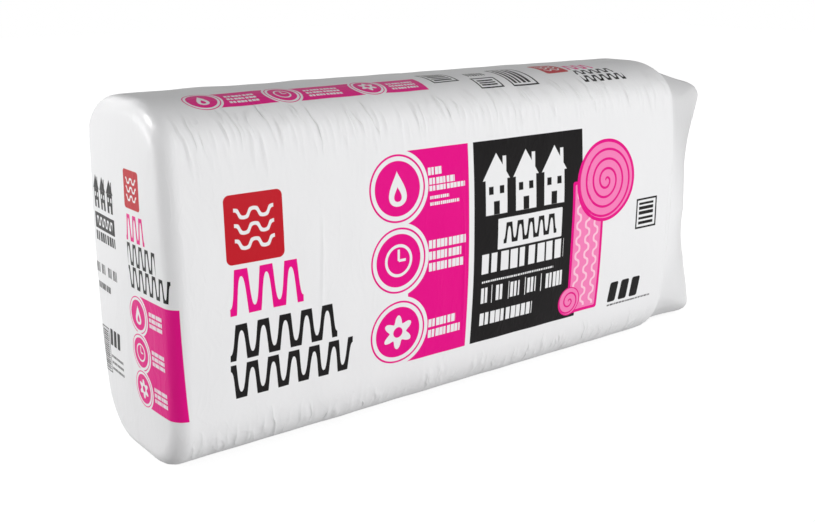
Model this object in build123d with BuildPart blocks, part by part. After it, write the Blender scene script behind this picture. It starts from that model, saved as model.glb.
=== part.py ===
from build123d import *
import os

# A bag of kraft-faced fiberglass batts, standing on its long narrow side.
# Millimetres. X runs along the bag towards its loose end, Y across it and Z up.
# It is drawn with the body's plain end at X = 0, and written with the origin on the floor,
# under the middle of the bag's full length.

# The filled body of the bag
body_length = 1226.0
body_height = 635.0
edge_depth = 286.0
face_crown = 22.5
lower_corner = 84.0
upper_corner = 95.0
rim_radius = 35.0
film = 1.0

# The loose end of the film, past the last batt
tail_reach_low = 195.0
tail_reach_middle = 145.0
tail_reach_high = 168.0
tail_step = 14.0
tail_end_low = 20.0
tail_end_high = 572.0
tail_end_depth = 152.0
tail_end_crown = 4.0
tail_corner = 48.0
tail_low_rounding = 22.0
tail_high_rounding = 48.0

# The batts, pressed together in the bag, each with its sheet of facing
batt_count = 11
facing_thickness = 0.6
batt_to_film = 0.8
layer_gap = 0.3

# This share of the stack's half depth lies outside it at every height.
CLEAR_OF_STACK = 1.1

tail_reach = max(tail_reach_low, tail_reach_middle, tail_reach_high)
tail_root = body_length - rim_radius


def bag_section(x, half_depth, crown, low, high, low_corner, high_corner):
    """Section across the bag at x: flat below and above, crowned sides, rounded corners."""
    middle = (low + high) / 2
    with BuildSketch(Plane.YZ.offset(x)) as section:
        with BuildLine():
            ThreePointArc((half_depth, low), (half_depth + crown, middle), (half_depth, high))
            ThreePointArc((-half_depth, low), (-half_depth - crown, middle), (-half_depth, high))
            Line((-half_depth, low), (half_depth, low))
            Line((-half_depth, high), (half_depth, high))
        make_face()
        fillet(section.vertices().group_by(Axis.Y)[0], low_corner)
        fillet(section.vertices().group_by(Axis.Y)[-1], high_corner)
    return section.sketch


def body_volume(inset):
    """The filled part of the bag, drawn in by inset on every side."""
    end_section = bag_section(
        inset,
        edge_depth / 2 - inset,
        face_crown,
        inset,
        body_height - inset,
        lower_corner - inset,
        upper_corner - inset,
    )
    with BuildPart() as body:
        extrude(end_section, amount=body_length - 2 * inset)
        ends = body.edges().group_by(Axis.X)
        fillet(ends[0] + ends[-1], rim_radius - inset)
    return body.part


def tail_side(inset):
    """The loose end from the side: nearly level below, sloping above, hollow at its end."""
    low_tip = (body_length + tail_reach_low - inset, tail_end_low + inset)
    high_tip = (body_length + tail_reach_high - inset, tail_end_high - inset)
    waist = (body_length + tail_reach_middle - inset, (tail_end_low + tail_end_high) / 2)
    with BuildSketch(Plane.XZ) as side:
        with BuildLine():
            ThreePointArc(low_tip, waist, high_tip)
            Polyline(
                high_tip,
                (tail_root, body_height - tail_step - inset),
                (tail_root, tail_step + inset),
                low_tip,
            )
        make_face()
        fillet(side.vertices().sort_by_distance(low_tip)[0], tail_low_rounding - inset)
        fillet(side.vertices().sort_by_distance(high_tip)[0], tail_high_rounding - inset)
    return side.sketch


def tail_volume(inset):
    """The loose end, narrowing from the body towards its closed end."""
    root = bag_section(
        tail_root,
        edge_depth / 2 - tail_step - inset,
        face_crown,
        tail_step + inset,
        body_height - tail_step - inset,
        lower_corner - inset,
        upper_corner - inset,
    )
    end = bag_section(
        body_length + tail_reach,
        tail_end_depth / 2 - inset,
        tail_end_crown,
        tail_end_low + inset,
        tail_end_high - inset,
        tail_corner - inset,
        tail_corner - inset,
    )
    with BuildPart() as tail:
        loft([root, end])
        extrude(tail_side(inset), amount=edge_depth, both=True, mode=Mode.INTERSECT)
    return tail.part


def bag_volume(inset):
    """The whole bag as one solid, drawn in by inset on every side."""
    body, tail = body_volume(inset), tail_volume(inset)
    with BuildPart() as bag:
        add(body)
        add(tail)
    return bag.part


outside = bag_volume(0)
inside = bag_volume(film)

with BuildPart() as film_bag:
    add(outside)
    add(inside, mode=Mode.SUBTRACT)
film_bag.part.label = "film_bag"

# The stack of batts fills the body. Each layer takes an equal share of the depth at every
# height, so the layers are flat in the middle of the stack and crowned at its two faces.
stack = body_volume(film + batt_to_film)
stack_half_depth = edge_depth / 2 - film - batt_to_film
pitch_share = 2 / batt_count
gap_share = layer_gap / stack_half_depth
facing_share = facing_thickness / stack_half_depth


def crowned_line(share):
    """Upright line in the section, at this share of the way from the middle to the side."""
    return Bezier(
        (share * stack_half_depth, 0),
        (share * (stack_half_depth + 2 * face_crown), body_height / 2),
        (share * stack_half_depth, body_height),
    )


def layer(start_share, end_share):
    """The slice of the stack between two crowned lines."""
    with BuildPart() as slice_of_stack:
        with BuildSketch(Plane.YZ):
            with BuildLine():
                first = crowned_line(start_share)
                last = crowned_line(end_share)
                Line(first @ 0, last @ 0)
                Line(first @ 1, last @ 1)
            make_face()
        extrude(amount=body_length)
        add(stack, mode=Mode.INTERSECT)
    return slice_of_stack.part


pieces = [film_bag.part]
for number in range(batt_count):
    front = -1 + number * pitch_share
    back = front + pitch_share - gap_share
    # The outer side of the first and the last batt is the stack's own surface.
    if number == 0:
        front = -CLEAR_OF_STACK
    if number == batt_count - 1:
        back = CLEAR_OF_STACK

    # Every facing is on the side of its batt that is nearer the middle of the stack.
    if number < batt_count / 2:
        facing = layer(back - facing_share, back)
        batt = layer(front, back - facing_share - gap_share)
    else:
        facing = layer(front, front + facing_share)
        batt = layer(front + facing_share + gap_share, back)
    facing.label = f"kraft_facing_{number + 1:02d}"
    batt.label = f"fiberglass_batt_{number + 1:02d}"
    pieces += [facing, batt]

os.makedirs("parts", exist_ok=True)
to_origin = Location((-outside.bounding_box().center().X, 0, 0))
for piece in pieces:
    export_step(piece.moved(to_origin), f"parts/{piece.label}.step")
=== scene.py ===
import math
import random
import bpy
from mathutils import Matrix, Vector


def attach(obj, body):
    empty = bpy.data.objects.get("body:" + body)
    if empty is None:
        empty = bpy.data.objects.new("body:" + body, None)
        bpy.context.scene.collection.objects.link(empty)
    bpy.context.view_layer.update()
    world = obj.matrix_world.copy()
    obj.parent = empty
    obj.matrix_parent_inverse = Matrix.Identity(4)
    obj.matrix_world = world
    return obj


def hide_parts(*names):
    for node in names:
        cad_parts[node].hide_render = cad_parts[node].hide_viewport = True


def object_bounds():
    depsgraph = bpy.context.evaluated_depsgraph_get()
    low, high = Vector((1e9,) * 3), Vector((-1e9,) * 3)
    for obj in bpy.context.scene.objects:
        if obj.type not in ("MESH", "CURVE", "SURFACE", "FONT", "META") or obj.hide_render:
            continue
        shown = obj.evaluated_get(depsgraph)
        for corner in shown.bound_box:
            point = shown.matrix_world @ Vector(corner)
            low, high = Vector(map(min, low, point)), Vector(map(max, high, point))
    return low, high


bl_info = {
    "name": "Bag of faced fiberglass batts",
    "version": (1, 0, 0),
    "blender": (4, 5, 0),
    "location": "View3D > Sidebar > Batt bag",
    "description": "A printed film bag of pressed fiberglass batts, with its floor, lamps and camera",
    "category": "Add Mesh",
}

import bmesh
import bpy
import numpy as np
from mathutils import Vector

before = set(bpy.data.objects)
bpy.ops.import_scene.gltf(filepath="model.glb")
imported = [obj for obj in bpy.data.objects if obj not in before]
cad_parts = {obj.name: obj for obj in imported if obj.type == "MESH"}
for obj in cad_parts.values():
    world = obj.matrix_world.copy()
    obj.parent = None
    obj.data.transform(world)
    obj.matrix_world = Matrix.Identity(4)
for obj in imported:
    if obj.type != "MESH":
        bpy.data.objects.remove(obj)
CAD_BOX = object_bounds()

MM = 0.001
FILM_PIECE = "printed_film"
PRINT_MAP = "print"
FOLD_MAP = "folds"

# Shares of a half side of the section's square that go to the rounded corners
SIDE_LOW_SHARE = 0.14
SIDE_HIGH_SHARE = 0.18
TOP_CORNER_SHARE = 0.72
BOTTOM_CORNER_SHARE = 0.485

# Faces of the film along each of its stretches, and round it
RIM_COLUMNS = 12
BODY_COLUMNS = 590
TAIL_COLUMNS = 95
LIP_COLUMNS = 6
COLUMNS = RIM_COLUMNS + BODY_COLUMNS + TAIL_COLUMNS + LIP_COLUMNS
ACROSS_ROWS = 20
UP_ROWS = 48

# The roundings of the plain end and of the closed end stop at these turns, beside flat film.
RIM_START = math.radians(6)
LIP_END = math.radians(12)

# The loose end's sides: how far they run in at first, as a share, midway and above and below,
# and how softly they turn away from the body
HOLLOW_MIDWAY = -0.25
HOLLOW_AT_EDGES = 0.32
SEAM_TURN = 3 * MM
SEAM_TURN_MIDWAY = 20 * MM
SEAM_TURN_ABOVE = 8 * MM
TAIL_END_CROWN = 4 * MM

# Creases across the wide faces, in millimetres: where along the bag and at which girth each
# starts, its length, width and height, and its lean
LONG_CREASES = (
    (289, 290, 260, 3.5, 1.5, -0.04),
    (603, 240, 430, 3.5, 1.3, 0.02),
    (948, 250, 330, 5, 1.0, 0.03),
)

# The broad waves of the whole film, and the folds of its loose end, the first ones broad
BROAD_WAVES = 9
TAIL_FOLDS = 34
BROAD_TAIL_FOLDS = 13

# The printing of the top ends at this girth, and lies lower by the shift on the far side.
TOP_PRINTING_GIRTH = 0.17
FAR_TOP_SHIFT = 0.03

# How soft the edge of the ink is, in millimetres, and how steep the wavy lines are
EDGE_SOFTNESS = 0.35
WAVE_STEEPNESS = 1.3

# Each lamp's place, width, height and power in watts, and what it shows as on the bag. All of
# them look at the bag's middle. The dark inks don't reflect a lamp that shows as light only,
# and the last one shows only as a sheen on the rounding of the plain end.
LAMPS = {
    "Front lamp": ((1.3, -5.6, 0.45), 4.2, 1.4, 341, "as light"),
    "Far lamp": ((1.6, 1.5, 1.5), 1.2, 1.2, 11, "as light"),
    "End lamp": ((-3.2, 1.9, 1.05), 2.4, 1.7, 103, "as both"),
    "Back lamp": ((-1.0, 3.4, 1.9), 1.6, 1.0, 14, "as both"),
    "Shine lamp": ((-2.3, 1.0, 2.4), 1.2, 0.7, 110, "as a sheen"),
}
LAMP_AIM = (0, 0, 0.32)
WORLD_LIGHT = 0.31

# The floor's own grey, and how much of its white glow is left near the bag and in the gloss
FLOOR_GREY = 0.3
GLOW_NEAR_BAG = 0.88
MIRRORED_GLOW = 0.4

# The camera's lens in millimetres, its place, and how many degrees it looks down and is turned
CAMERA_LENS = 46.137
CAMERA_PLACE = (-1.3627, -1.6395, 0.8338)
CAMERA_DOWN = 15.58
CAMERA_TURN = 37.392


def srgb(red, green, blue):
    """Colour for a shader from the three numbers, 0 to 255, of a swatch."""

    def linear(value):
        value = value / 255
        if value <= 0.04045:
            return value / 12.92
        return ((value + 0.055) / 1.055) ** 2.4

    return (linear(red), linear(green), linear(blue), 1.0)


# Colours of the inks, the film, the glass wool and the paper
MAGENTA = srgb(226, 4, 132)
PINK = srgb(240, 128, 182)
PALE_PINK = srgb(248, 196, 216)
BLACK = srgb(20, 18, 19)
RED = srgb(188, 24, 38)
WHITE = srgb(232, 232, 233)


def length_property(name, description, default):
    """Property for a length in metres, given in millimetres."""
    return bpy.props.FloatProperty(
        name=name,
        description=description,
        default=default * MM,
        min=0,
        subtype="DISTANCE",
        unit="LENGTH",
    )


def share_property(name, description, default):
    """Property for a share of the closed end's depth."""
    description = f"How deep the closed end is {description}, as a share of its depth"
    return bpy.props.FloatProperty(name=name, description=description, default=default, min=0.1)


def colour_property(name, description, default):
    return bpy.props.FloatVectorProperty(
        name=name, description=description, default=default, size=4, min=0, max=1, subtype="COLOR"
    )


class BagShape(bpy.types.PropertyGroup):
    """Sizes of the filled body of the bag and its loose end."""

    body_length: length_property("Body length", "Length of the filled body", 1226)
    body_height: length_property("Body height", "Height of the filled body", 635)
    edge_depth: length_property("Edge depth", "Depth along the upper and lower edges", 286)
    face_crown: length_property("Face crown", "How far each wide face bulges", 22.5)
    lower_corner: length_property("Lower corner", "Radius of the two lower edges", 111)
    shoulder_depth: length_property("Shoulder depth", "Depth of the upper edges' rounding", 120)
    shoulder_height: length_property("Shoulder height", "Height of the same rounding", 76)
    batt_gap: length_property("Batt gap", "From the film to the pressed batts", 1.8)
    batt_lower: length_property("Batts below", "Lower corner radius of the batts as packed", 84)
    batt_upper: length_property("Batts above", "Upper corner radius of the batts as packed", 95)
    rim_radius: length_property("Rim radius", "Rounding round the plain end", 30)
    end_rim: length_property("End rim", "Rounding of the body where the loose end starts", 20)
    end_crown: length_property("End crown", "How far the plain end bulges", 4.5)
    tail_reach_low: length_property("Lower reach", "Loose end past the body, below", 196)
    tail_reach_middle: length_property("Middle reach", "Loose end past the body, midway", 154)
    tail_reach_high: length_property("Upper reach", "Loose end past the body, above", 175)
    tail_step: length_property("Tail step", "Step from the body in to the loose end", 8)
    tail_root_crown: length_property("Root crown", "Bulge where the loose end starts", 27)
    tail_end_low: length_property("Tail low", "Height of the loose end's lower edge", 3)
    tail_end_high: length_property("Tail high", "Height of the loose end's upper edge", 586)
    tail_end_depth: length_property("Tail depth", "Depth of the loose end's closed edge", 152)
    tail_corner: length_property("Tail corner", "Radius of the closed end's corners", 40)
    waist: share_property("Waist", "midway", 0.97)
    upper_ear: share_property("Upper ear", "above", 1.22)
    lower_ear: share_property("Lower ear", "below", 1.15)
    tail_low_tip: length_property("Lower tip", "Rounding of the lower tip, from the side", 22)
    tail_high_tip: length_property("Upper tip", "Rounding of the upper tip, from the side", 48)
    lip: length_property("Lip", "Rounding round the closed end", 11)
    tuck: length_property("Tuck", "How far the closed end is tucked in", 20)


class BagFolds(bpy.types.PropertyGroup):
    """Pleats, creases and waves of the film."""

    seed: bpy.props.IntProperty(
        name="Seed", description="Start of the random order of the pleats", default=11
    )
    pleat_height: length_property("Pleat height", "Height of a middling pleat", 2.2)
    pleat_width: length_property("Pleat width", "Half width of a middling pleat", 2.9)
    pleat_spacing: length_property("Pleat spacing", "Middling distance between pleats", 21)
    pleat_lean: bpy.props.FloatProperty(
        name="Pleat lean",
        description="How far the foot of a pleat lies towards the loose end",
        default=math.radians(11),
        subtype="ANGLE",
        unit="ROTATION",
    )
    wave_height: length_property("Wave height", "Height of the broad waves", 0.7)


class BagFinish(bpy.types.PropertyGroup):
    """Colours and gloss of the film, the glass wool and the paper."""

    film_colour: colour_property("Film", "Colour of the bare film", WHITE)
    wool_colour: colour_property("Glass wool", "Colour of the batts", srgb(236, 150, 170))
    paper_colour: colour_property("Kraft paper", "Colour of the facings", srgb(170, 126, 84))


# Shape of the film


def smooth_step(value):
    """Eases from 0 to 1 while the value goes from 0 to 1."""
    value = np.clip(value, 0, 1)
    return value * value * (3 - 2 * value)


def between(start, end, share):
    return start + (end - start) * share


def soft_least(first, second, reach):
    """The lesser of the two, with a soft turn over this reach where they meet."""
    near = np.clip(1 - np.abs(first - second) / np.maximum(reach, 1e-9), 0, 1)
    return np.minimum(first, second) - near * near * reach / 4


def section_point(across, up, half, crown, low, high, low_corner, shoulder):
    """Place on the bag's rounded, crowned section for a place on the edge of a square.

    The shoulder is how deep and how tall the rounding of each upper corner is.
    Returns the distance from the middle, the height and the girth from the top's middle.
    """
    middle = (low + high) / 2
    side_radius = (((high - low) / 2) ** 2 + crown**2) / (2 * crown)
    side_centre = half + crown - side_radius
    deep, tall = shoulder

    def corner(depth, height, end, way):
        """Centre of a corner's ellipse, and the angles at which the side and it meet."""
        meet = 0.0
        for _ in range(4):
            level = end - way * height * (1 - np.sin(meet))
            lean = np.arcsin(way * (level - middle) / side_radius)
            meet = np.arctan(np.tan(lean) * height / depth)
        centre = side_centre + side_radius * np.cos(lean) - depth * np.cos(meet)
        return centre, way * lean, way * meet

    low_centre, low_lean, _ = corner(low_corner, low_corner, low, -1)
    high_centre, high_lean, high_meet = corner(deep, tall, high, 1)
    diagonal = math.pi / 4
    share = (up + 1) / 2
    straight = 1 - SIDE_LOW_SHARE - SIDE_HIGH_SHARE
    side_share = (share - SIDE_LOW_SHARE) / straight
    low_angle = between(-diagonal, low_lean, share / SIDE_LOW_SHARE)
    side_angle = between(low_lean, high_lean, side_share)
    high_angle = between(diagonal, high_meet, (1 - share) / SIDE_HIGH_SHARE)
    out = np.abs(across)
    top_angle = between(2 * diagonal, diagonal, (out - 1) / TOP_CORNER_SHARE + 1)
    bottom_angle = -between(2 * diagonal, diagonal, (out - 1) / BOTTOM_CORNER_SHARE + 1)
    top_flat = high_centre * out / (1 - TOP_CORNER_SHARE)
    bottom_flat = low_centre * out / (1 - BOTTOM_CORNER_SHARE)

    def shoulder_girth(angle):
        turned = 2 * diagonal - angle
        return high_centre + (deep + tall) / 2 * turned + (deep - tall) / 4 * np.sin(2 * turned)

    girth_side = shoulder_girth(high_meet)
    girth_low = girth_side + side_radius * (high_lean - low_lean)
    girth_end = girth_low + low_corner * (low_lean + 2 * diagonal)

    def on_low_corner(angle):
        y = low_centre + low_corner * np.cos(angle)
        z = low + low_corner + low_corner * np.sin(angle)
        return y, z, girth_low + low_corner * (low_lean - angle)

    def on_shoulder(angle):
        y = high_centre + deep * np.cos(angle)
        z = high - tall + tall * np.sin(angle)
        return y, z, shoulder_girth(angle)

    def on_side(angle):
        y = side_centre + side_radius * np.cos(angle)
        z = middle + side_radius * np.sin(angle)
        return y, z, girth_side + side_radius * (high_lean - angle)

    beside = out >= np.abs(up)
    above = ~beside & (up > 0)
    cases = {
        "lower corner's side": (beside & (share < SIDE_LOW_SHARE), on_low_corner(low_angle)),
        "shoulder's side": (beside & (share > 1 - SIDE_HIGH_SHARE), on_shoulder(high_angle)),
        "side": (beside, on_side(side_angle)),
        "shoulder's top": (above & (out > 1 - TOP_CORNER_SHARE), on_shoulder(top_angle)),
        "top": (above, (top_flat, high, top_flat)),
        "lower corner's foot": (out > 1 - BOTTOM_CORNER_SHARE, on_low_corner(bottom_angle)),
    }
    bottom = (bottom_flat, low, girth_end + low_centre - bottom_flat)
    here, points = zip(*cases.values())
    return [np.select(here, values, rest) for values, rest in zip(zip(*points), bottom)]


def body_section(shape, across, up, inset):
    """Point of the body's section, drawn in by inset on every side."""
    return section_point(
        across,
        up,
        shape.edge_depth / 2 - inset,
        shape.face_crown,
        inset,
        shape.body_height - inset,
        shape.lower_corner - inset,
        (shape.shoulder_depth - inset, shape.shoulder_height - inset),
    )


def tail_root_section(shape, across, up):
    """Point of the section where the loose end starts, inside the body's rim."""
    step = shape.tail_step
    return section_point(
        across,
        up,
        shape.edge_depth / 2 - step,
        shape.tail_root_crown,
        step,
        shape.body_height - step,
        shape.lower_corner,
        (shape.shoulder_depth, shape.shoulder_height),
    )


def tail_end_section(shape, across, up, inset):
    """Point of the closed end's section, drawn in by inset."""
    return section_point(
        across,
        up,
        shape.tail_end_depth / 2 - inset,
        TAIL_END_CROWN,
        shape.tail_end_low + inset,
        shape.tail_end_high - inset,
        shape.tail_corner - inset,
        (shape.tail_corner - inset, shape.tail_corner - inset),
    )


def tail_end_line(shape, z):
    """How far along the closed end is at this height: two tips and a waist between them."""
    low, high = shape.tail_end_low, shape.tail_end_high
    share = (z - low) / (high - low)
    line = (
        shape.tail_reach_low * (1 - share) * (1 - 2 * share)
        + shape.tail_reach_middle * 4 * share * (1 - share)
        + shape.tail_reach_high * share * (2 * share - 1)
    )
    for tip, beyond in (
        (shape.tail_low_tip, low + shape.tail_low_tip - z),
        (shape.tail_high_tip, z - high + shape.tail_high_tip),
    ):
        into_tip = np.clip(beyond, 0, tip)
        line = line - (tip - np.sqrt(tip * tip - into_tip * into_tip))
    return shape.body_length + line


def section_heights(shape, out, low_corner, shoulder):
    """Heights of a section's under side and of its top, this far out from its middle.

    The section lies within the film by the batts' gap, and so do the given corners.
    """
    gap = shape.batt_gap
    run, ones = np.linspace(0, 1, 400), np.ones(400)
    heights = []
    for way in (-1, 1):
        path_y, path_z, _ = section_point(
            np.concatenate([run, ones]),
            np.concatenate([ones, 1 - run]) * way,
            shape.edge_depth / 2 - gap,
            shape.face_crown,
            gap,
            shape.body_height - gap,
            low_corner - gap,
            (shoulder[0] - gap, shoulder[1] - gap),
        )
        heights.append(np.interp(out, np.maximum.accumulate(path_y), path_z))
    return heights


def vertex_values(mesh, key):
    """One vector for each vertex of the mesh."""
    values = np.zeros(len(mesh.vertices) * 3)
    mesh.vertices.foreach_get(key, values)
    return values.reshape(-1, 3)


def press_corners(mesh, shape):
    """Presses the corners of a batt or a facing in, to lie inside the rounder film."""
    points = vertex_values(mesh, "co")
    out, height = np.abs(points[:, 1]), points[:, 2]
    packed = section_heights(shape, out, shape.batt_lower, (shape.batt_upper, shape.batt_upper))
    shoulder = (shape.shoulder_depth, shape.shoulder_height)
    pressed = section_heights(shape, out, shape.lower_corner, shoulder)
    share = (height - packed[0]) / np.maximum(packed[1] - packed[0], 1e-6)
    shift = between(pressed[0] - packed[0], pressed[1] - packed[1], np.clip(share, 0, 1))
    points[:, 2] = height + shift
    mesh.vertices.foreach_set("co", points.ravel())
    mesh.update()


class FilmPlaces:
    """Where each point of a gridded cube goes on the film, and its place in the printing."""

    def __init__(self, shape, unit):
        self.shape = shape
        self.column = np.rint((unit[:, 0] + 1) / 2 * COLUMNS)
        self.ring = np.max(np.abs(unit[:, 1:]), axis=1)
        outward = np.maximum(self.ring, 1e-6)
        self.across = unit[:, 1] / outward
        self.up = unit[:, 2] / outward
        self.side = np.where(unit[:, 1] < 0, -1.0, 1.0)
        self.place_body()
        self.place_tail()
        self.place_caps()
        self.y *= self.side

    def place_body(self):
        shape = self.shape
        rim = shape.rim_radius
        turn = between(RIM_START, math.pi / 2, np.clip(self.column / RIM_COLUMNS, 0, 1))
        along = np.clip((self.column - RIM_COLUMNS) / BODY_COLUMNS, 0, 1)
        inset = rim * (1 - np.sin(turn))
        self.y, self.z, self.girth = body_section(shape, self.across, self.up, inset)
        self.end_print = self.y + rim * (turn - np.sin(turn))
        straight = shape.body_length - rim - shape.end_rim
        self.x = rim * (1 - np.cos(turn)) + straight * along

    def place_tail(self):
        shape = self.shape
        rim = shape.end_rim
        start = shape.body_length - rim
        past_body = self.column - RIM_COLUMNS - BODY_COLUMNS
        share = np.clip(past_body / TAIL_COLUMNS, 0, 1)
        past_tail = np.clip((past_body - TAIL_COLUMNS) / LIP_COLUMNS, 0, 1)
        turn = between(math.pi / 2, LIP_END, past_tail)
        inset = shape.lip * (1 - np.sin(turn))

        root_y, root_z, _ = tail_root_section(shape, self.across, self.up)
        end_y, end_z, _ = tail_end_section(shape, self.across, self.up, inset)
        end_y = end_y * self.closed_end_share(end_z)
        end_x = tail_end_line(shape, end_z) - shape.lip * (1 - np.cos(turn))
        x = between(start, end_x, share)
        # Above and below, the film narrows fast at first. Midway it bulges.
        hollow = between(HOLLOW_MIDWAY, HOLLOW_AT_EDGES, np.abs(self.up) ** 2)
        narrowing = share + hollow * np.sin(math.pi * share)
        tail_y = between(root_y, end_y, narrowing)
        tail_z = between(root_z, end_z, share)

        drop = np.hypot(tail_y - self.y, tail_z - self.z)
        past = np.clip(x - start, 0, rim)
        rim_drop = rim - np.sqrt(rim * rim - past * past) + 4 * np.clip(x - start - rim, 0, None)
        middle = 1 - np.abs(self.up) ** 3
        reach = between(SEAM_TURN, SEAM_TURN_MIDWAY, middle) * smooth_step(past / rim * 1.5)
        above = smooth_step((self.up - 0.8) * 5)
        reach = reach + SEAM_TURN_ABOVE * above * smooth_step(past / rim)
        joined = soft_least(rim_drop, drop, reach) / np.maximum(drop, 1e-6)
        in_tail = past_body > 0
        self.x = np.where(in_tail, x, self.x)
        self.y = np.where(in_tail, between(self.y, tail_y, joined), self.y)
        self.z = np.where(in_tail, between(self.z, tail_z, joined), self.z)

    def closed_end_share(self, z):
        """Depth of the closed end at this height: two ears with a waist between them.

        The ears start and end at shares of the body's height.
        """
        shape = self.shape
        height = z / shape.body_height
        above = smooth_step((height - 0.6) / 0.36)
        below = smooth_step((0.36 - height) / 0.3)
        depth = between(shape.waist, shape.upper_ear, above)
        return depth + (shape.lower_ear - shape.waist) * below

    def place_caps(self):
        shape = self.shape
        middle = shape.body_height / 2
        flat = 1 - self.ring**2
        plain = (self.column == 0) & (self.ring < 1)
        self.x = np.where(plain, self.x - shape.end_crown * flat, self.x)
        self.y = np.where(plain, self.y * self.ring, self.y)
        self.z = np.where(plain, middle + (self.z - middle) * self.ring, self.z)
        self.end_print = np.where(plain, self.y, self.end_print)

        closed = (self.column == self.column.max()) & (self.ring < 1)
        middle = (shape.tail_end_low + shape.tail_end_high) / 2
        y, z = self.y * self.ring, middle + (self.z - middle) * self.ring
        lip_back = shape.lip * (1 - math.cos(LIP_END))
        inner = shape.tail_end_high - middle - shape.lip
        x = tail_end_line(shape, middle + np.clip(z - middle, -inner, inner)) - lip_back
        tucked = shape.tuck * smooth_step((1 - self.ring) * 2.2)
        self.x = np.where(closed, x - tucked, self.x)
        self.y = np.where(closed, y, self.y)
        self.z = np.where(closed, z, self.z)


def gridded_cube(cuts):
    """A cube whose faces are cut into this many strips along each axis."""
    mesh = bmesh.new()
    bmesh.ops.create_cube(mesh, size=2)
    for axis, count in enumerate(cuts):
        along = []
        for edge in mesh.edges:
            run = edge.verts[1].co - edge.verts[0].co
            if abs(run[axis]) > 1e-6:
                along.append(edge)
        bmesh.ops.subdivide_edges(mesh, edges=along, cuts=count - 1, use_grid_fill=True)
    return mesh


class Pleats:
    """Short raised folds of the film, each a ridge with one steep flank."""

    def __init__(self, folds, places):
        self.draw = random.Random(folds.seed)
        self.folds = folds
        self.places = places
        self.height = np.zeros(len(places.x))

    def ridge(self, side, x, girth, length, width, height, lean):
        """One ridge, from this place on one side of the bag down over its length."""
        places = self.places
        down = (places.girth - girth) / length
        line = x + lean * (places.girth - girth)
        narrow = width * (0.55 + 0.45 * np.sin(math.pi * np.clip(down, 0, 1)))
        off = (places.x - line) / narrow
        shape = np.exp(-off * off) * (1 + 0.55 * np.tanh(2 * off))
        fade = smooth_step(down * 3.2) * smooth_step((1 - down) * 2.1)
        here = (places.side == side) & (down > 0) & (down < 1)
        self.height = np.maximum(self.height, np.where(here, shape * fade * height, 0))

    def along_edge(self, side, start, end, girth, lengths, share):
        """A row of ridges along one edge, no two alike."""
        draw, folds = self.draw, self.folds
        x = start
        while x < end:
            strength = draw.uniform(0.35, 1.25) * share
            self.ridge(
                side,
                x,
                girth + draw.uniform(-12, 16) * MM,
                draw.uniform(*lengths) * MM,
                folds.pleat_width * draw.uniform(0.7, 1.45),
                folds.pleat_height * strength,
                math.tan(folds.pleat_lean) * draw.uniform(0.4, 1.7),
            )
            x += folds.pleat_spacing * draw.uniform(0.55, 1.6)


def film_displacement(folds, shape, places):
    """How far each point of the film stands out from the smooth bag."""
    pleats = Pleats(folds, places)
    body_end = shape.body_length - 45 * MM
    for side in (-1, 1):
        pleats.along_edge(side, 40 * MM, body_end, 134 * MM, (45, 105), 1.0)
        pleats.along_edge(side, 60 * MM, body_end, 158 * MM, (30, 75), 0.8)
        pleats.along_edge(side, body_end - 190 * MM, body_end, 130 * MM, (55, 100), 1.3)
        pleats.along_edge(side, 50 * MM, body_end, 668 * MM, (35, 75), 0.8)
    for side in (-1, 1):
        for *lengths, lean in LONG_CREASES:
            pleats.ridge(side, *[length * MM for length in lengths], lean)

    draw = random.Random(folds.seed + 1)
    waves = np.zeros(len(places.x))
    for _ in range(BROAD_WAVES):
        heading = draw.uniform(0, math.pi)
        length = draw.uniform(90, 260) * MM
        run = places.x * math.cos(heading) + places.girth * places.side * math.sin(heading)
        waves += np.sin(run * 2 * math.pi / length + draw.uniform(0, 2 * math.pi)) / 3
    on_end = smooth_step(1 - places.x / shape.rim_radius)
    waves = folds.wave_height * (waves + 0.8) * (1 - 0.6 * on_end)

    # Folds that run along the loose end and fan out towards its closed edge
    past = smooth_step((places.x - shape.body_length + 20 * MM) / (60 * MM))
    fan = np.zeros(len(places.x))
    for number in range(TAIL_FOLDS):
        height = draw.uniform(0.04, 0.96) * shape.body_height
        width = draw.uniform(7, 16) * MM
        if number >= BROAD_TAIL_FOLDS:
            height = draw.choice((0.03, 0.7)) * shape.body_height
            height += draw.uniform(0, 0.26) * shape.body_height
            width = draw.uniform(3.5, 7) * MM
        slant = (height / shape.body_height - 0.5) * 0.35 + draw.uniform(-0.06, 0.06)
        off = (places.z - height - slant * (places.x - shape.body_length)) / width
        strength = draw.uniform(-0.6, 1.4) * MM
        fan += np.where(places.side == draw.choice((-1, 1)), strength * np.exp(-off * off), 0)
    stays_down = smooth_step(places.z / (25 * MM))
    return (pleats.height + waves) * stays_down + fan * past * stays_down


REGIONS = ("side", "end", "top", "plain")


def face_regions(places, corners):
    """Which printing each face of the film carries."""
    column = places.column[corners].mean(axis=1)
    across = places.across[corners].mean(axis=1)
    up = places.up[corners].mean(axis=1)
    on_end = column < RIM_COLUMNS
    on_body = (column < RIM_COLUMNS + BODY_COLUMNS) & ~on_end
    on_top = places.girth[corners].mean(axis=1) < TOP_PRINTING_GIRTH
    on_side = np.abs(across) > np.abs(up)
    region = np.full(len(corners), REGIONS.index("plain"))
    region[on_end] = REGIONS.index("end")
    region[on_body & on_side] = REGIONS.index("side")
    region[on_body & on_top] = REGIONS.index("top")
    return region, np.where(across < 0, -1, 1)


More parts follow.
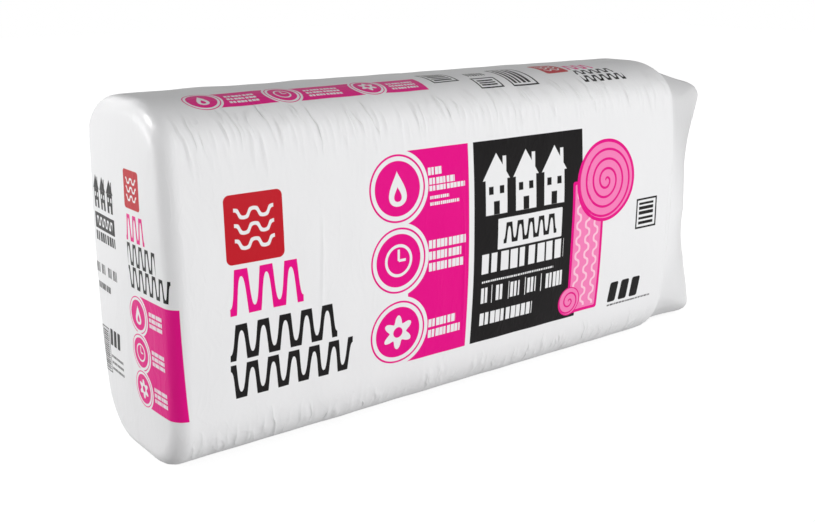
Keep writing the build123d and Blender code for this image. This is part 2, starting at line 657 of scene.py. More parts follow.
def printing_places(shape, places, corners, region, side):
    """Place in the printing, in metres, of each corner of each face."""
    x, z = places.x[corners], places.z[corners]
    girth = places.girth[corners]
    behind = (side > 0)[:, None]
    along = np.where(behind, shape.body_length - x, x)
    wide = np.stack([along, z], axis=-1)
    end = np.stack([-(places.end_print * places.side)[corners], z], axis=-1)
    top = np.stack([along, np.where(behind, FAR_TOP_SHIFT, 0) - girth], axis=-1)
    chosen = region[:, None, None]
    return np.where(
        chosen == REGIONS.index("end"), end, np.where(chosen == REGIONS.index("top"), top, wide)
    )


def fold_places(places, corners):
    """Length along the bag and girth of each corner of each face, both 0 off the body."""
    spread = np.stack([places.x + 2 * (places.side > 0), places.girth], axis=-1)[corners]
    column = places.column[corners].mean(axis=1)
    on_body = (column > RIM_COLUMNS) & (column < RIM_COLUMNS + BODY_COLUMNS)
    return spread * on_body[:, None, None]


def new_piece(name, mesh, materials):
    """Object with this mesh, riding on the bag's one body."""
    piece = bpy.data.objects.new(name, mesh)
    bpy.context.scene.collection.objects.link(piece)
    for material in materials:
        mesh.materials.append(material)
    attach(piece, "root")
    return piece


# Shader nodes


class Value:
    """A number or vector in a node tree. Arithmetic on it adds the nodes that work it out."""

    def __init__(self, graph, socket):
        self.graph = graph
        self.socket = socket

    def math(self, operation, *others):
        return self.graph.math(operation, self, *others)

    def __add__(self, other):
        return self.math("ADD", other)

    def __sub__(self, other):
        return self.math("SUBTRACT", other)

    def __rsub__(self, other):
        return self.graph.math("SUBTRACT", other, self)

    def __mul__(self, other):
        return self.math("MULTIPLY", other)

    def __truediv__(self, other):
        return self.math("DIVIDE", other)

    def __abs__(self):
        return self.math("ABSOLUTE")

    def is_vector(self):
        return self.socket.type == "VECTOR"


class Graph:
    """Short calls that add nodes to a tree and link them."""

    def __init__(self, tree):
        self.tree = tree

    def put(self, socket, value):
        """Links a socket to a value of the tree, or sets it to a plain one."""
        if isinstance(value, Value):
            self.tree.links.new(value.socket, socket)
        else:
            socket.default_value = value

    def add(self, kind, values=None, **settings):
        node = self.tree.nodes.new(kind)
        node.location = (180 * (len(self.tree.nodes) % 12), -220 * (len(self.tree.nodes) // 12))
        for name, setting in settings.items():
            setattr(node, name, setting)
        for name, value in (values or {}).items():
            self.put(node.inputs[name], value)
        return node

    def value(self, kind, values=None, output=0, **settings):
        """What one output of a new node gives."""
        return Value(self, self.add(kind, values, **settings).outputs[output])

    def math(self, operation, *values):
        vectors = [one for one in values if isinstance(one, tuple)]
        vectors += [one for one in values if isinstance(one, Value) and one.is_vector()]
        node = self.add("ShaderNodeVectorMath" if vectors else "ShaderNodeMath", operation=operation)
        for socket, value in zip(node.inputs, values):
            self.put(socket, value)
        gives_vector = vectors and operation not in ("LENGTH", "DISTANCE")
        return Value(self, node.outputs["Vector" if gives_vector else "Value"])

    def scale(self, vector, factor):
        values = {"Vector": vector, "Scale": factor}
        return self.value("ShaderNodeVectorMath", values, operation="SCALE")

    def parts(self, vector):
        outputs = self.add("ShaderNodeSeparateXYZ", {"Vector": vector}).outputs
        return [Value(self, socket) for socket in outputs]

    def combine(self, x, y):
        return self.value("ShaderNodeCombineXYZ", {"X": x, "Y": y})

    def mix(self, share, under, over):
        node = self.add("ShaderNodeMix", data_type="RGBA")
        self.put(node.inputs["Factor"], share)
        self.put(node.inputs[6], under)
        self.put(node.inputs[7], over)
        return Value(self, node.outputs[2])

    def ramp(self, value, start, end):
        """Share of the way from start to end, from 0 to 1."""
        return self.value("ShaderNodeMapRange", {"Value": value, "From Min": start, "From Max": end})

    def edge(self, distance):
        """Mask that is 1 where the distance in millimetres is below 0, with a soft edge."""
        return self.ramp(distance, EDGE_SOFTNESS, -EDGE_SOFTNESS)

    def noise(self, vector, scale, detail=2.0, roughness=0.5):
        values = {"Vector": vector, "Scale": scale, "Detail": detail, "Roughness": roughness}
        return self.value("ShaderNodeTexNoise", values)

    def bump(self, height, strength, distance):
        values = {"Strength": strength, "Distance": distance, "Height": height}
        return self.value("ShaderNodeBump", values)

    def rays(self, *kinds):
        """Whether the ray is of each of these kinds."""
        outputs = self.add("ShaderNodeLightPath").outputs
        return [Value(self, outputs[f"Is {kind} Ray"]) for kind in kinds]

    def group(self, name, **values):
        """What the outputs of a group give."""
        node = self.add("ShaderNodeGroup", node_tree=bpy.data.node_groups[name])
        for key, value in values.items():
            self.put(node.inputs[key.replace("_", " ")], value)
        return [Value(self, socket) for socket in node.outputs]


def new_group(name, inputs, outputs):
    """Empty shader node group with these sockets, as its graph, inputs and outputs."""
    tree = bpy.data.node_groups.new(name, "ShaderNodeTree")
    for key, kind in inputs.items():
        tree.interface.new_socket(name=key, in_out="INPUT", socket_type="NodeSocket" + kind)
    for key, kind in outputs.items():
        tree.interface.new_socket(name=key, in_out="OUTPUT", socket_type="NodeSocket" + kind)
    graph = Graph(tree)
    start = tree.nodes.new("NodeGroupInput")
    end = tree.nodes.new("NodeGroupOutput")
    return graph, {socket.name: Value(graph, socket) for socket in start.outputs}, end.inputs


def shape_group(name, vectors, numbers, masks=("Mask",)):
    """Empty group for a printed shape, which also gets its place and its centre."""
    inputs = dict.fromkeys(("Place", "Centre", *vectors), "Vector")
    inputs.update(dict.fromkeys(numbers, "Float"))
    return new_group(f"Printed {name}", inputs, dict.fromkeys(masks, "Float"))


def make_block_group():
    """A rectangle with rounded corners, which may lean to the right."""
    graph, given, result = shape_group("block", ["Half size"], ["Corner", "Lean"])
    x, z, _ = graph.parts(given["Place"] - given["Centre"])
    off = graph.combine(x - z * given["Lean"], z)
    past = abs(off) - (given["Half size"] - given["Corner"])
    past = past.math("MAXIMUM", (0, 0, 0)) * (1, 1, 0)
    graph.put(result["Mask"], graph.edge(past.math("LENGTH") - given["Corner"]))


def make_ring_group():
    """A ring, or a disc where its radius is 0."""
    graph, given, result = shape_group("ring", [], ["Radius", "Half width"])
    away = given["Place"].math("DISTANCE", given["Centre"])
    distance = abs(away - given["Radius"]) - given["Half width"]
    graph.put(result["Mask"], graph.edge(distance))


def make_wave_group():
    """A line that winds up and down in steep loops, as batts are drawn on a plan."""
    graph, given, result = shape_group("wave", ["Half size"], ["Wavelength", "Stroke", "Steep"])
    x, z, _ = graph.parts(given["Place"] - given["Centre"])
    half_width, half_height, _ = graph.parts(given["Half size"])
    wavelength, stroke, steep = given["Wavelength"], given["Stroke"], given["Steep"]
    reach = half_height - stroke
    angle = x / wavelength * (2 * math.pi)
    bent = (angle.math("COSINE") * steep).math("TANH")
    most = steep.math("TANH")
    rise = z - bent / most * reach
    # Across the line, the distance is the rise over the length of its slope.
    slope = (1.0 - bent * bent) * (angle.math("SINE") * steep) * (reach * (2 * math.pi))
    slope = slope / (most * wavelength)
    stretch = slope.math("MULTIPLY_ADD", slope, 1.0).math("SQRT")
    distance = (abs(rise) / stretch - stroke).math("MAXIMUM", abs(x) - half_width)
    distance = distance.math("MAXIMUM", abs(z) - half_height)
    graph.put(result["Mask"], graph.edge(distance))


def make_house_group():
    """Three like houses in a row, and the doors and windows in them."""
    masks = ("Walls", "Openings")
    graph, given, result = shape_group("houses", ["Half size"], ["Spacing"], masks)
    x, z, _ = graph.parts(given["Place"] - given["Centre"])
    number = (x / given["Spacing"]).math("ROUND")
    number = graph.value("ShaderNodeClamp", {"Value": number, "Min": -1.0, "Max": 1.0})
    x = x - number * given["Spacing"]
    half_width, half_height, _ = graph.parts(given["Half size"])
    across = x / half_width
    out = abs(across)
    up = z / half_height

    def within(value, middle, half):
        return abs(value - middle) - half

    roof = (out.math("MULTIPLY_ADD", 0.86, up) - 1.0).math("MAXIMUM", 0.14 - up)
    wall = (out - 0.8).math("MAXIMUM", within(up, -0.42, 0.58))
    chimney = within(across, 0.6, 0.13).math("MAXIMUM", within(up, 0.5, 0.38))
    walls = roof.math("MINIMUM", wall).math("MINIMUM", chimney)
    door = (out - 0.22).math("MAXIMUM", within(up, -0.78, 0.22))
    window = within(out, 0.4, 0.17).math("MAXIMUM", within(up, -0.2, 0.13))
    openings = door.math("MINIMUM", window)
    graph.put(result["Walls"], graph.edge(walls * half_width))
    graph.put(result["Openings"], graph.edge(openings * half_width))


def make_spiral_group():
    """The end of a roll, as a line that winds inwards."""
    graph, given, result = shape_group("spiral", [], ["Radius", "Pitch", "Stroke"])
    off = given["Place"] - given["Centre"]
    x, z, _ = graph.parts(off)
    away = off.math("LENGTH")
    turn = z.math("ARCTAN2", x) / (2 * math.pi)
    coil = away / given["Pitch"] + turn
    near = abs(coil.math("FRACT") - 0.5) * given["Pitch"] - given["Stroke"]
    graph.put(result["Mask"], graph.edge(near.math("MAXIMUM", away - given["Radius"])))


def make_row_group():
    """A row of upright blocks of uneven width."""
    graph, given, result = shape_group("row", ["Half size"], ["Pitch", "Fill"])
    x, _, _ = graph.parts(given["Place"] - given["Centre"])
    half_width, _, _ = graph.parts(given["Half size"])
    start = (x + half_width) / given["Pitch"]
    number = start.math("FLOOR")
    chance = graph.value("ShaderNodeTexWhiteNoise", {"W": number}, noise_dimensions="1D")
    width = given["Fill"] * chance.math("MULTIPLY_ADD", 0.4, 0.8)
    off = abs(start.math("FRACT") - width * 0.5) - width * 0.5
    mask = graph.edge(off * given["Pitch"])
    box = {"Place": given["Place"], "Centre": given["Centre"], "Half_size": given["Half size"]}
    block = graph.group("Printed block", Corner=0.4, **box)
    graph.put(result["Mask"], mask * block[0])


def make_petal_group():
    """A flower of round petals."""
    graph, given, result = shape_group("petals", [], ["Radius", "Petals"])
    off = given["Place"] - given["Centre"]
    x, z, _ = graph.parts(off)
    angle = x.math("ARCTAN2", z) * given["Petals"]
    reach = angle.math("COSINE").math("MULTIPLY_ADD", 0.22, 0.78) * given["Radius"]
    graph.put(result["Mask"], graph.edge(off.math("LENGTH") - reach))


def make_drop_group():
    """A drop with its point upwards."""
    graph, given, result = shape_group("drop", [], ["Half height"])
    x, z, _ = graph.parts(given["Place"] - given["Centre"])
    half_height = given["Half height"]
    down = (z / half_height).math("MULTIPLY_ADD", -0.5, 0.5)
    down = graph.value("ShaderNodeClamp", {"Value": down})
    width = down.math("POWER", 1.25) * (1.0 - down).math("SQRT") * 1.75 * half_height
    distance = (abs(x) - width).math("MAXIMUM", abs(z) - half_height)
    graph.put(result["Mask"], graph.edge(distance))


class Printing:
    """A sheet of printing in millimetres, where each shape lies over the earlier ones."""

    def __init__(self, name):
        inputs = {"Place": "Vector", "Film": "Color"}
        self.graph, given, self.result = new_group(name, inputs, {"Colour": "Color", "Ink": "Float"})
        self.place = self.graph.scale(given["Place"], 1000.0)
        x, z, _ = self.graph.parts(self.place)
        self.turned = self.graph.combine(z, x)
        self.bare = given["Film"]
        self.colour = self.bare

    def lay(self, ink, mask):
        """Lays an ink over the sheet, or lets the bare film show where none is given."""
        ink = self.bare if ink is None else ink
        self.colour = self.graph.mix(mask, self.colour, ink)

    def shape(self, ink, name, where, **values):
        self.lay(ink, self.graph.group(f"Printed {name}", **where, **values)[0])

    def box(self, left, right, low, high, turned=False):
        """Place, centre and half size of a box."""
        centre = ((left + right) / 2, (low + high) / 2, 0.0)
        half = ((right - left) / 2, (high - low) / 2, 0.0)
        if turned:
            centre = (centre[1], centre[0], 0.0)
            half = (half[1], half[0], 0.0)
        place = self.turned if turned else self.place
        return {"Place": place, "Centre": centre, "Half_size": half}

    def spot(self, x, z):
        return {"Place": self.place, "Centre": (x, z, 0.0)}

    def block(self, ink, left, right, low, high, corner=0.8, lean=0.0):
        self.shape(ink, "block", self.box(left, right, low, high), Corner=corner, Lean=lean)

    def row(self, ink, left, right, low, high, pitch, fill=0.7, turned=False):
        where = self.box(left, right, low, high, turned)
        self.shape(ink, "row", where, Pitch=pitch, Fill=fill)

    def wave(self, ink, left, right, low, high, wavelength, stroke, turned=False):
        where = self.box(left, right, low, high, turned)
        self.shape(ink, "wave", where, Wavelength=wavelength, Stroke=stroke, Steep=WAVE_STEEPNESS)

    def houses(self, wall, opening, left, right, low, high, spacing):
        """Three houses, the middle one between left and right."""
        where = self.box(left, right, low, high)
        walls, openings = self.graph.group("Printed houses", Spacing=spacing, **where)
        self.lay(wall, walls)
        self.lay(opening, openings)

    def ring(self, ink, x, z, radius, half_width):
        self.shape(ink, "ring", self.spot(x, z), Radius=radius, Half_width=half_width)

    def disc(self, ink, x, z, radius):
        self.ring(ink, x, z, 0.0, radius)

    def drop(self, ink, x, z, half_height):
        self.shape(ink, "drop", self.spot(x, z), Half_height=half_height)

    def petals(self, ink, x, z, radius):
        self.shape(ink, "petals", self.spot(x, z), Radius=radius, Petals=6.0)

    def roll(self, x, z, radius, turns):
        """The end of a roll of pink wool."""
        wool = radius * 0.92
        pitch = wool / turns
        self.disc(MAGENTA, x, z, radius)
        self.disc(PINK, x, z, wool)
        values = {"Radius": wool, "Pitch": pitch, "Stroke": pitch * 0.13}
        self.shape(MAGENTA, "spiral", self.spot(x, z), **values)

    def layers_tile(self, left, right, low, high):
        """A red tile with three wavy layers."""
        wide, tall = right - left, high - low
        self.block(RED, left, right, low, high, corner=wide * 0.1)
        side, half = wide * 0.16, tall * 0.085
        for share in (0.28, 0.5, 0.72):
            middle = low + tall * share
            box = (left + side, right - side, middle - half, middle + half)
            self.wave(None, *box, wide * 0.34, tall * 0.026)

    def badge(self, x, z, radius, picture):
        """A ringed disc with a white picture in it."""
        self.disc(None, x, z, radius * 1.13)
        self.ring(MAGENTA, x, z, radius * 0.972, radius * 0.03)
        self.disc(MAGENTA, x, z, radius * 0.81)
        if picture == "drop":
            self.drop(None, x, z, radius * 0.52)
            self.drop(MAGENTA, x, z - radius * 0.16, radius * 0.22)
        elif picture == "dial":
            hand = radius * 0.04
            self.disc(None, x, z, radius * 0.5)
            self.disc(MAGENTA, x, z, radius * 0.41)
            self.block(None, x - hand, x + hand, z, z + radius * 0.34)
            self.block(None, x, x + radius * 0.26, z - hand, z + hand)
        else:
            self.petals(None, x, z, radius * 0.55)
            self.disc(MAGENTA, x, z, radius * 0.17)

    def framed_bars(self, left, right, low, high, line, pitch, turned=True):
        """Plain bars in a frame."""
        self.block(BLACK, left, right, low, high)
        self.block(None, left + line, right - line, low + line, high - line)
        gap = 2.2 * line
        box = (left + gap, right - 2.6 * line, low + gap, high - gap)
        self.row(BLACK, *box, pitch, 0.6, turned)

    def close(self):
        """Hands out the colour, and where ink lies on the film."""
        grey = self.graph.value("ShaderNodeRGBToBW", {"Color": self.colour})
        self.graph.put(self.result["Colour"], self.colour)
        self.graph.put(self.result["Ink"], self.graph.ramp(grey, 0.75, 0.4))


def print_side():
    """The printing on the two wide faces."""
    sheet = Printing("Side printing")
    sheet.layers_tile(102, 211, 369, 485)
    sheet.wave(MAGENTA, 103, 245, 283, 361, 47.3, 6.2)
    sheet.wave(BLACK, 101, 314, 203, 267, 42.6, 5.6)
    sheet.wave(BLACK, 101, 348, 133, 196, 41.2, 5.6)

    sheet.block(MAGENTA, 472, 620, 115, 519.6)
    sheet.badge(450.7, 453.7, 62, "drop")
    sheet.badge(450.7, 320.3, 62, "dial")
    sheet.badge(450.7, 180.4, 62, "petals")
    for left, right, low, high, pitch in (
        (521, 555, 470, 484, 8.5),
        (523, 585, 452.5, 464.5, 8.5),
        (523, 610, 440.5, 450, 8.5),
        (524, 570, 425, 431, 5),
        (524, 595, 413, 419, 5),
        (521, 611, 331, 347, 9.5),
        (521, 600, 309, 325, 9.5),
        (521, 606, 287, 303, 9.5),
        (523, 590, 175, 191, 9.5),
        (523, 603, 153, 169, 9.5),
    ):
        sheet.row(None, left, right, low, high, pitch, 0.78)

    sheet.block(BLACK, 633, 929, 115, 519.6)
    sheet.houses(None, BLACK, 734, 804, 374, 494, 79)
    sheet.block(None, 694, 872, 302, 364, corner=2)
    sheet.wave(BLACK, 709, 857, 312, 354, 29.6, 4.1)
    sheet.row(None, 654, 880, 257, 297, 25, 0.7)
    sheet.row(None, 656, 852, 238, 242, 5, 0.7)
    for left, right in ((655, 673), (695, 715), (733, 758), (780, 804), (832, 883)):
        sheet.row(None, left, right, 196, 228, 10.5, 0.72)
    sheet.row(None, 683, 823, 193, 231, 45, 0.04)
    sheet.row(None, 655, 797, 149, 175, 14, 0.74)

    # A roll of pink wool whose loose sheet hangs down over the panel's edge
    sheet.block(MAGENTA, 902, 996, 122, 412, corner=6)
    sheet.block(PINK, 909, 989, 129, 405, corner=3)
    for left in (915, 941, 967):
        sheet.wave(PALE_PINK, left, left + 16, 134, 400, 33, 2.6, turned=True)
    sheet.roll(1002, 404, 88, 4)
    sheet.roll(908, 152, 32, 2)

    sheet.framed_bars(1102, 1170, 282, 350, 4.2, 11)
    for left in (1034, 1070, 1106):
        sheet.block(BLACK, left, left + 26, 124, 170, corner=5, lean=0.13)
    sheet.row(BLACK, 1033, 1176, 114.5, 118.5, 5, 0.7)
    sheet.close()


def print_end():
    """The printing on the plain end."""
    sheet = Printing("End printing")
    sheet.layers_tile(17, 75, 457, 522)
    sheet.wave(MAGENTA, 17, 86, 402, 447, 23, 3.3)
    sheet.wave(BLACK, 17, 118, 360, 398, 22.4, 3.0)
    sheet.wave(BLACK, 17, 156, 320, 358, 23.2, 3.0)
    sheet.block(MAGENTA, 54, 168, 113, 311)
    sheet.badge(41.9, 275.4, 32.6, "drop")
    sheet.badge(41.9, 208.3, 32.6, "dial")
    sheet.badge(41.9, 141.8, 32.6, "petals")
    for z in (275.4, 208.3, 141.8):
        for step in (13, 3, -7):
            sheet.row(None, 84, 128, z + step - 4, z + step + 3, 5, 0.78)

    sheet.houses(BLACK, None, -94.5, -65.5, 433, 492, 32.5)
    sheet.block(BLACK, -128, -33, 395, 424, corner=1.2)
    sheet.wave(None, -119, -42, 401, 418, 17, 2)
    sheet.row(BLACK, -128, -35, 373, 390, 11, 0.7)
    for left in (-140, -114, -82, -58):
        sheet.row(BLACK, left, left + 17, 312, 330, 7, 0.7)
    sheet.row(BLACK, -136, -76, 282, 294, 8, 0.72)
    sheet.framed_bars(-137, -102, 125, 211, 2.2, 4.2)
    for left in (-97, -80, -63):
        sheet.block(BLACK, left, left + 12, 182, 214, corner=2.5, lean=0.13)
    for low in (158, 146, 134):
        sheet.row(BLACK, -98, -44, low, low + 5, 5, 0.72)
    sheet.close()


def print_top():
    """The printing along the top, which reads from the nearer side."""
    sheet = Printing("Top printing")
    sheet.block(MAGENTA, 130, 566, -109, -55)
    for x, picture in ((114, "drop"), (266, "dial"), (444, "petals")):
        sheet.badge(x, -80, 32, picture)
    for left, right in ((158, 214), (312, 382), (490, 550)):
        for low in (-76, -87, -98):
            sheet.row(None, left, right, low, low + 6.5, 7, 0.78)
    sheet.framed_bars(594, 656, -88, -24, 4, 10)
    sheet.row(BLACK, 696, 742, -66, -46, 7, 0.6)
    sheet.framed_bars(688, 748, -120, -79, 4, 8)
    sheet.framed_bars(772, 842, -121, -26, 4.5, 12, turned=False)
    sheet.layers_tile(897, 961, -84, -18)
    sheet.wave(MAGENTA, 969, 1044, -75, -42, 25, 3.8)
    sheet.wave(BLACK, 967, 1080, -101, -81, 23, 3.2)
    sheet.wave(BLACK, 968, 1096, -128, -106, 23, 3.2)
    sheet.close()


def make_crinkle_group():
    """Small wrinkles of thin film: its height, and how its gloss varies."""
    outputs = {"Height": "Float", "Roughness": "Float"}
    graph, given, result = new_group("Film crinkle", {"Place": "Vector"}, outputs)
    place = given["Place"]
    bend = graph.value("ShaderNodeTexNoise", {"Vector": place, "Scale": 7.0}, "Color")
    bent = place * (1.0, 1.0, 0.28) + graph.scale(bend, 0.08)
    creases = (1.0 - abs(graph.noise(bent, 34.0, 3.0) - 0.5)).math("POWER", 9.0)
    height = graph.noise(bent, 11.0) + creases * 0.34
    height = graph.noise(place, 320.0).math("MULTIPLY_ADD", 0.035, height)
    graph.put(result["Height"], height)
    smudge = graph.noise(place, 5.0, 3.0)
    graph.put(result["Roughness"], smudge.math("MULTIPLY_ADD", 0.14, 0.27))


def make_fold_group():
    """Fine sharp pleats where the film is drawn over the long edges.

    The place holds the distance along the bag and the girth from the top's middle.
    """
    graph, given, result = new_group("Film pleats", {"Place": "Vector"}, {"Height": "Float"})
    place = given["Place"]
    along, girth, _ = graph.parts(place)
    uneven = graph.noise(place * (26, 4, 0), 1.0) - 0.5
    sway = graph.noise(place, 22.0, 1.0) - 0.5
    leaned = sway.math("MULTIPLY_ADD", 0.02, girth.math("MULTIPLY_ADD", -0.24, along))
    drawn = graph.combine(leaned, girth) * (34, 3.5, 0)
    level = graph.noise(drawn, 1.0, 1.0) - 0.5
    ridge = graph.ramp(abs(level), 0.08, 0.0)
    step = graph.ramp(level, -0.012, 0.012) * graph.ramp(level, 0.14, 0.012)
    fold = step.math("MULTIPLY_ADD", 0.5, ridge)

    # They start and end at these girths, give or take, beside the top and beside the bottom.
    reach = uneven.math("MULTIPLY_ADD", 0.17, girth)
    upper = graph.ramp(reach, 0.112, 0.135) * graph.ramp(reach, 0.2, 0.155)
    lower = graph.ramp(reach, 0.665, 0.685) * graph.ramp(reach, 0.74, 0.71)
    shown = upper.math("MAXIMUM", lower * 0.7)
    graph.put(result["Height"], fold * shown)


def new_material(name):
    """New material, its graph, its shader's inputs and the place on the object."""
    material = bpy.data.materials.new(name)
    material.use_nodes = True
    graph = Graph(material.node_tree)
    place = graph.value("ShaderNodeTexCoord", output="Object")
    return material, graph, material.node_tree.nodes["Principled BSDF"].inputs, place


def scaled(colour, factor):
    """The colour made darker or paler by this factor."""
    return tuple(min(1.0, value * factor) for value in colour[:3]) + (1.0,)


def film_material(name, finish, printing=None):
    """White film with the printing of one of its faces where one is named; the plain film gets
    painted shade on its loose end.
    """
    material, graph, shader, place = new_material(name)
    wrinkles, roughness = graph.group("Film crinkle", Place=place)
    colour = tuple(finish.film_colour)
    if printing:
        where = graph.value("ShaderNodeUVMap", uv_map=PRINT_MAP)
        base, ink = graph.group(printing, Place=where, Film=colour)
        roughness = ink.math("MULTIPLY_ADD", -0.04, roughness)
    else:
        # Past the last batt, the film's upper and lower parts are painted greyer: painted shade,
        # standing in for the shade on the loose end above and below its bright middle.
        along, _, up = graph.parts(place)
        body_end = CAD_BOX[0].x + bpy.context.scene.bag_shape.body_length
        past = graph.ramp(along, body_end - 8 * MM, body_end + 22 * MM)
        above = graph.ramp(up, 0.3, 0.5) * 0.9
        below = graph.ramp(up, 0.2, 0.0) * 0.6
        base = graph.mix(past * (above + below), colour, scaled(colour, 0.82))
    graph.put(shader["Base Color"], base)
    where = graph.value("ShaderNodeUVMap", uv_map=FOLD_MAP)
    pleats = graph.group("Film pleats", Place=where)[0]
    height = pleats.math("MULTIPLY_ADD", 1.5, wrinkles)
    graph.put(shader["Normal"], graph.bump(height, 1.0, 0.001))
    graph.put(shader["Roughness"], roughness)
    graph.put(shader["Specular IOR Level"], 0.25)
    return material


def wool_material(finish):
    """Pink glass wool: fine fibres lying in layers."""
    material, graph, shader, place = new_material("Glass wool")
    layered = place * (1.0, 5.0, 1.0)
    clumps = graph.noise(layered, 22.0, 4.0, 0.6)
    fibres = graph.noise(layered, 260.0, 3.0, 0.7)
    shade = fibres.math("MULTIPLY_ADD", 0.5, clumps * 0.5)
    colour = tuple(finish.wool_colour)
    graph.put(shader["Base Color"], graph.mix(shade, colour, scaled(colour, 1.25)))
    height = fibres.math("MULTIPLY_ADD", 0.4, clumps)
    graph.put(shader["Normal"], graph.bump(height, 0.7, 0.004))
    graph.put(shader["Roughness"], 0.92)
    graph.put(shader["Sheen Weight"], 0.3)
    return material


def paper_material(finish):
    """Brown kraft paper with its fibres and a faint sheen of asphalt."""
    material, graph, shader, place = new_material("Kraft paper")
    grain = graph.noise(place * (0.15, 1.0, 1.0), 300.0, 4.0, 0.6)
    blotches = graph.noise(place, 18.0, 3.0)
    share = grain.math("MULTIPLY_ADD", 0.5, blotches * 0.5)
    colour = tuple(finish.paper_colour)
    graph.put(shader["Base Color"], graph.mix(share, colour, scaled(colour, 0.72)))
    graph.put(shader["Normal"], graph.bump(grain, 0.3, 0.001))
    graph.put(shader["Roughness"], blotches.math("MULTIPLY_ADD", 0.2, 0.55))
    return material


# Operators


class MakeFilm(bpy.types.Operator):
    """Makes the film bag round the batts: filled body, loose end, pleats and folds"""

    bl_idname = "batt_bag.film"
    bl_label = "Film bag"

    def execute(self, context):
        scene = context.scene
        cube = gridded_cube((COLUMNS, ACROSS_ROWS, UP_ROWS))
        unit = np.array([vertex.co for vertex in cube.verts])
        places = FilmPlaces(scene.bag_shape, unit)
        start = CAD_BOX[0].x
        for vertex, x, y, z in zip(cube.verts, places.x + start, places.y, places.z):
            vertex.co = (x, y, z)
        mesh = bpy.data.meshes.new(FILM_PIECE)
        cube.to_mesh(mesh)
        cube.free()

        stands_out = film_displacement(scene.bag_folds, scene.bag_shape, places)
        normals = vertex_values(mesh, "normal")
        points = vertex_values(mesh, "co") + normals * stands_out[:, None]
        points[:, 2] = np.maximum(points[:, 2], 0)
        mesh.vertices.foreach_set("co", points.ravel())

        corners = np.zeros(len(mesh.loops), dtype=int)
        mesh.loops.foreach_get("vertex_index", corners)
        corners = corners.reshape(-1, 4)
        region, side = face_regions(places, corners)
        mesh.polygons.foreach_set("material_index", region)
        mesh.polygons.foreach_set("use_smooth", np.ones(len(corners), dtype=bool))
        layer = mesh.uv_layers.new(name=PRINT_MAP)
        print_places = printing_places(scene.bag_shape, places, corners, region, side)
        layer.data.foreach_set("uv", print_places.ravel())
        layer = mesh.uv_layers.new(name=FOLD_MAP)
        layer.data.foreach_set("uv", fold_places(places, corners).ravel())
        mesh.update()
        piece = new_piece(FILM_PIECE, mesh, [])
        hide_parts("film_bag")
        return {"FINISHED"}


class PrintFilm(bpy.types.Operator):
    """Gives the film its white plastic and its printing"""

    bl_idname = "batt_bag.printing"
    bl_label = "Printing"

    def execute(self, context):
        finish = context.scene.bag_finish
        for make in (
            make_block_group,
            make_ring_group,
            make_wave_group,
            make_house_group,
            make_spiral_group,
            make_row_group,
            make_petal_group,
            make_drop_group,
            make_crinkle_group,
            make_fold_group,
            print_side,
            print_end,
            print_top,
        ):
            make()
        mesh = bpy.data.objects[FILM_PIECE].data
        for region in REGIONS:
            printing = None if region == "plain" else f"{region.capitalize()} printing"
            mesh.materials.append(film_material(f"Film, {region}", finish, printing))
        return {"FINISHED"}


class FinishBatts(bpy.types.Operator):
    """Presses the batts into the film, and gives them their glass wool and kraft paper"""

    bl_idname = "batt_bag.batts"
    bl_label = "Batts and facings"

    def execute(self, context):
        finish = context.scene.bag_finish
        wool, paper = wool_material(finish), paper_material(finish)
        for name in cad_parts:
            if not name.startswith(("fiberglass_batt", "kraft_facing")):
                continue
            is_wool = name.startswith("fiberglass_batt")
            mesh = bpy.data.objects[name].data.copy()
            mesh.materials.clear()
            press_corners(mesh, context.scene.bag_shape)
            slot, material = ("glass_wool", wool) if is_wool else ("kraft_paper", paper)
            piece = new_piece(f"pressed_{name}", mesh, [material])
            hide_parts(name)
        return {"FINISHED"}


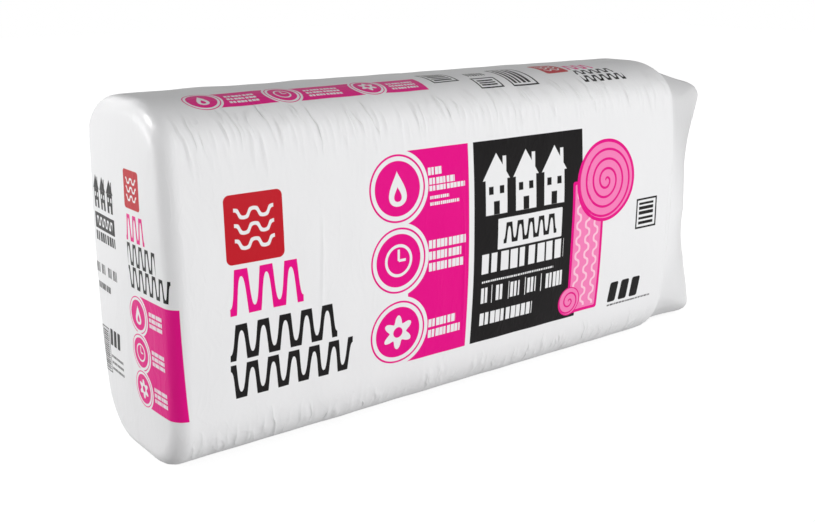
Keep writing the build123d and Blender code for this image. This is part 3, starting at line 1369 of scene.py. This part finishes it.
class MakeStage(bpy.types.Operator):
    """Makes the floor, the lamps and the camera"""

    bl_idname = "batt_bag.stage"
    bl_label = "Floor, lamps and camera"

    def execute(self, context):
        scene = context.scene
        self.make_floor(scene)
        self.make_world(scene)
        for name, lamp in LAMPS.items():
            self.add_lamp(scene, name, *lamp)
        self.add_camera(scene)
        scene.view_settings.view_transform = "Standard"
        return {"FINISHED"}

    def make_floor(self, scene):
        mesh = bmesh.new()
        bmesh.ops.create_grid(mesh, x_segments=2, y_segments=2, size=12)
        data = bpy.data.meshes.new("Floor")
        mesh.to_mesh(data)
        mesh.free()
        floor = bpy.data.objects.new("Floor", data)
        scene.collection.objects.link(floor)
        material = bpy.data.materials.new("Pale floor")
        material.use_nodes = True
        tree = material.node_tree
        tree.nodes.remove(tree.nodes["Principled BSDF"])
        graph = Graph(tree)
        # The camera sees the floor glow white, and the bag gets only its plain grey light.
        camera, clear, glossy = graph.rays("Camera", "Transmission", "Glossy")
        seen = glossy.math("MULTIPLY_ADD", MIRRORED_GLOW, camera.math("MAXIMUM", clear))
        away = graph.value("ShaderNodeTexCoord", output="Object").math("LENGTH")
        fade = {"Value": away, "From Min": 0.9, "From Max": 2.6, "To Min": GLOW_NEAR_BAG}
        strength = seen * graph.value("ShaderNodeMapRange", fade)
        both = graph.add("ShaderNodeAddShader")
        grey = (FLOOR_GREY, FLOOR_GREY, FLOOR_GREY, 1.0)
        graph.put(both.inputs[0], graph.value("ShaderNodeBsdfDiffuse", {"Color": grey}))
        graph.put(both.inputs[1], graph.value("ShaderNodeEmission", {"Strength": strength}))
        graph.put(tree.nodes["Material Output"].inputs["Surface"], Value(graph, both.outputs[0]))
        data.materials.append(material)

    def make_world(self, scene):
        world = scene.world or bpy.data.worlds.new("World")
        scene.world = world
        world.use_nodes = True
        graph = Graph(world.node_tree)
        background = world.node_tree.nodes["Background"].inputs
        graph.put(background["Color"], (1, 1, 1, 1))
        camera, clear = graph.rays("Camera", "Transmission")
        strength = camera.math("MAXIMUM", clear).math("MULTIPLY_ADD", 1 - WORLD_LIGHT, WORLD_LIGHT)
        graph.put(background["Strength"], strength)

    def add_lamp(self, scene, name, place, width, height, power, shows):
        lamp = bpy.data.lights.new(name, "AREA")
        lamp.shape = "RECTANGLE"
        lamp.size, lamp.size_y = width, height
        lamp.energy = power
        holder = bpy.data.objects.new(name, lamp)
        holder.location = place
        aim = Vector(LAMP_AIM) - Vector(place)
        holder.rotation_euler = aim.to_track_quat("-Z", "Y").to_euler()
        holder.visible_glossy = shows != "as light"
        holder.visible_diffuse = shows != "as a sheen"
        scene.collection.objects.link(holder)

    def add_camera(self, scene):
        camera = bpy.data.cameras.new("Camera")
        camera.lens = CAMERA_LENS
        camera.sensor_width = 36
        holder = bpy.data.objects.new("Camera", camera)
        holder.location = CAMERA_PLACE
        holder.rotation_euler = (math.radians(90 - CAMERA_DOWN), 0, math.radians(-CAMERA_TURN))
        scene.collection.objects.link(holder)
        scene.camera = holder


class BagPanel(bpy.types.Panel):
    """Lists the steps that make the bag"""

    bl_idname = "VIEW3D_PT_batt_bag"
    bl_label = "Batt bag"
    bl_space_type = "VIEW_3D"
    bl_region_type = "UI"
    bl_category = "Batt bag"

    def draw(self, context):
        layout = self.layout
        for operator in OPERATORS:
            layout.operator(operator.bl_idname)
        for group in (context.scene.bag_shape, context.scene.bag_folds, context.scene.bag_finish):
            box = layout.box()
            for name in group.__annotations__:
                box.prop(group, name)


OPERATORS = (MakeFilm, PrintFilm, FinishBatts, MakeStage)
CLASSES = (BagShape, BagFolds, BagFinish, *OPERATORS, BagPanel)


def register():
    for one in CLASSES:
        bpy.utils.register_class(one)
    bpy.types.Scene.bag_shape = bpy.props.PointerProperty(type=BagShape)
    bpy.types.Scene.bag_folds = bpy.props.PointerProperty(type=BagFolds)
    bpy.types.Scene.bag_finish = bpy.props.PointerProperty(type=BagFinish)


def unregister():
    del bpy.types.Scene.bag_finish
    del bpy.types.Scene.bag_folds
    del bpy.types.Scene.bag_shape
    for one in reversed(CLASSES):
        bpy.utils.unregister_class(one)


def main():
    register()
    bpy.ops.batt_bag.film()
    bpy.ops.batt_bag.printing()
    bpy.ops.batt_bag.batts()
    bpy.ops.batt_bag.stage()


if __name__ == "__main__":
    main()
